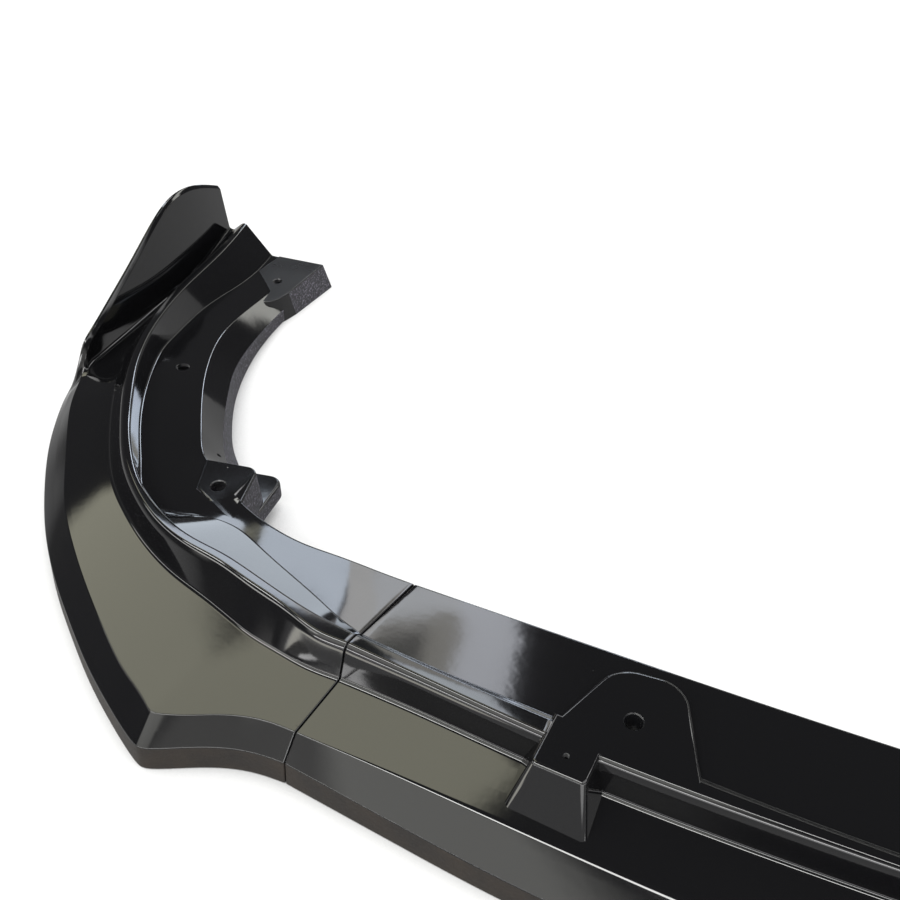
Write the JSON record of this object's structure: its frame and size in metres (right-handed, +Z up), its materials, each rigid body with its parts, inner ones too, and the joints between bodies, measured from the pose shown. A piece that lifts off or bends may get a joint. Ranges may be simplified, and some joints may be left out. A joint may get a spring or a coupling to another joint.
{
  "type": "front splitter lip",
  "caption": "Front splitter lip for a car bumper: a bowed centre section and swept corner pieces with fins, screwed together at two seams.",
  "frame": {"origin": "middle of the footprint, on the ground plane of the lower rim", "axes": "+X across the car to its left side, +Y rearwards, +Z up"},
  "size_m": [1.7408, 0.5678, 0.1191],
  "materials": {
    "gloss_black_paint": "gloss",
    "zinc_plated_steel": "satin"
  },
  "bodies": {
    "root": {"centre_section": "gloss_black_paint", "right_corner": "gloss_black_paint", "left_corner": "gloss_black_paint", "right_joint_bolts": "zinc_plated_steel", "right_joint_washers": "zinc_plated_steel", "right_joint_nuts": "zinc_plated_steel", "left_joint_bolts": "zinc_plated_steel", "left_joint_washers": "zinc_plated_steel", "left_joint_nuts": "zinc_plated_steel"}
  },
  "joints": []
}
